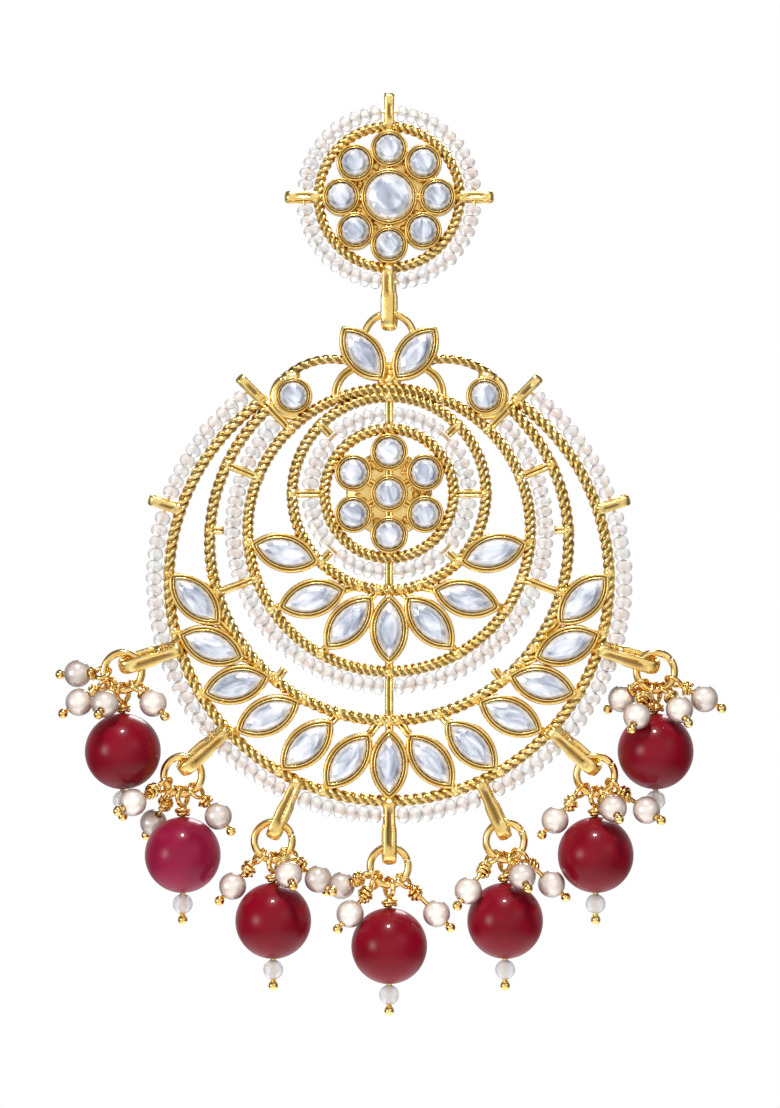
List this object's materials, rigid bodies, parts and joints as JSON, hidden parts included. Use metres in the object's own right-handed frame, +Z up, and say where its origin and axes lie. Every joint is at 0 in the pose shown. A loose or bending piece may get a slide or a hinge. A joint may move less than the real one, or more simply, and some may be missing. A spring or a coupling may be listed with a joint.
{
  "type": "chandbali earring",
  "caption": "Gold-toned crescent drop earring with a round flower stud, foiled stones, strings of seed beads, red bead drops and pearl clusters.",
  "frame": {"origin": "middle of the stud's flat back, where the ear post leaves it", "axes": "+Z up as the earring hangs, +X to the viewer's right, +Y backwards along the ear post, so the front faces -Y"},
  "size_m": [0.0709, 0.0174, 0.0972],
  "materials": {
    "gold": "warm gold plating over cast and soldered brass, darkened in the recesses",
    "gold_wire": "bright gold-plated brass wire",
    "foiled_stone": "clear cut glass over silver foil",
    "seed_beads": "translucent white glass",
    "pearl": "lustrous imitation pearl",
    "red_bead": "polished deep red glass"
  },
  "bodies": {
    "stud": {"stud_frame": "gold", "stud_centre_stone": "foiled_stone", "stud_petal_stones": "foiled_stone", "stud_seed_string": "seed_beads"},
    "drop": {"drop_frame": "gold", "flower_centre_stone": "foiled_stone", "flower_petal_stones": "foiled_stone", "flower_seed_string": "seed_beads", "middle_seed_string": "seed_beads", "outer_seed_string": "seed_beads", "cluster_pearls": "pearl", "cluster_pins": "gold_wire", "tip_pearls": "pearl", "crown_pointed_stone_1": "foiled_stone", "crown_pointed_stone_2": "foiled_stone", "crown_round_stone_1": "foiled_stone", "crown_round_stone_2": "foiled_stone", "inner_stone_1": "foiled_stone", "inner_stone_2": "foiled_stone", "inner_stone_3": "foiled_stone", "inner_stone_4": "foiled_stone", "inner_stone_5": "foiled_stone", "inner_stone_6": "foiled_stone", "inner_stone_7": "foiled_stone", "outer_stone_1": "foiled_stone", "outer_stone_2": "foiled_stone", "outer_stone_3": "foiled_stone", "outer_stone_4": "foiled_stone", "outer_stone_5": "foiled_stone", "outer_stone_6": "foiled_stone", "outer_stone_7": "foiled_stone", "outer_stone_8": "foiled_stone", "outer_stone_9": "foiled_stone", "outer_stone_10": "foiled_stone", "outer_stone_11": "foiled_stone", "outer_stone_12": "foiled_stone", "outer_stone_13": "foiled_stone", "jump_ring_1": "gold_wire", "jump_ring_2": "gold_wire", "jump_ring_3": "gold_wire", "jump_ring_4": "gold_wire", "jump_ring_5": "gold_wire", "jump_ring_6": "gold_wire", "jump_ring_7": "gold_wire", "red_bead_1": "red_bead", "red_bead_2": "red_bead", "red_bead_3": "red_bead", "red_bead_4": "red_bead", "red_bead_5": "red_bead", "red_bead_6": "red_bead", "red_bead_7": "red_bead", "bead_pin_1": "gold_wire", "bead_pin_2": "gold_wire", "bead_pin_3": "gold_wire", "bead_pin_4": "gold_wire", "bead_pin_5": "gold_wire", "bead_pin_6": "gold_wire", "bead_pin_7": "gold_wire"}
  },
  "joints": [
    {"name": "drop_swing", "type": "hinge", "parent": "stud", "child": "drop", "pos_m": [0, -0.001, -0.01227], "axis": [1, 0, 0], "range_deg": [-90, 90]}
  ]
}
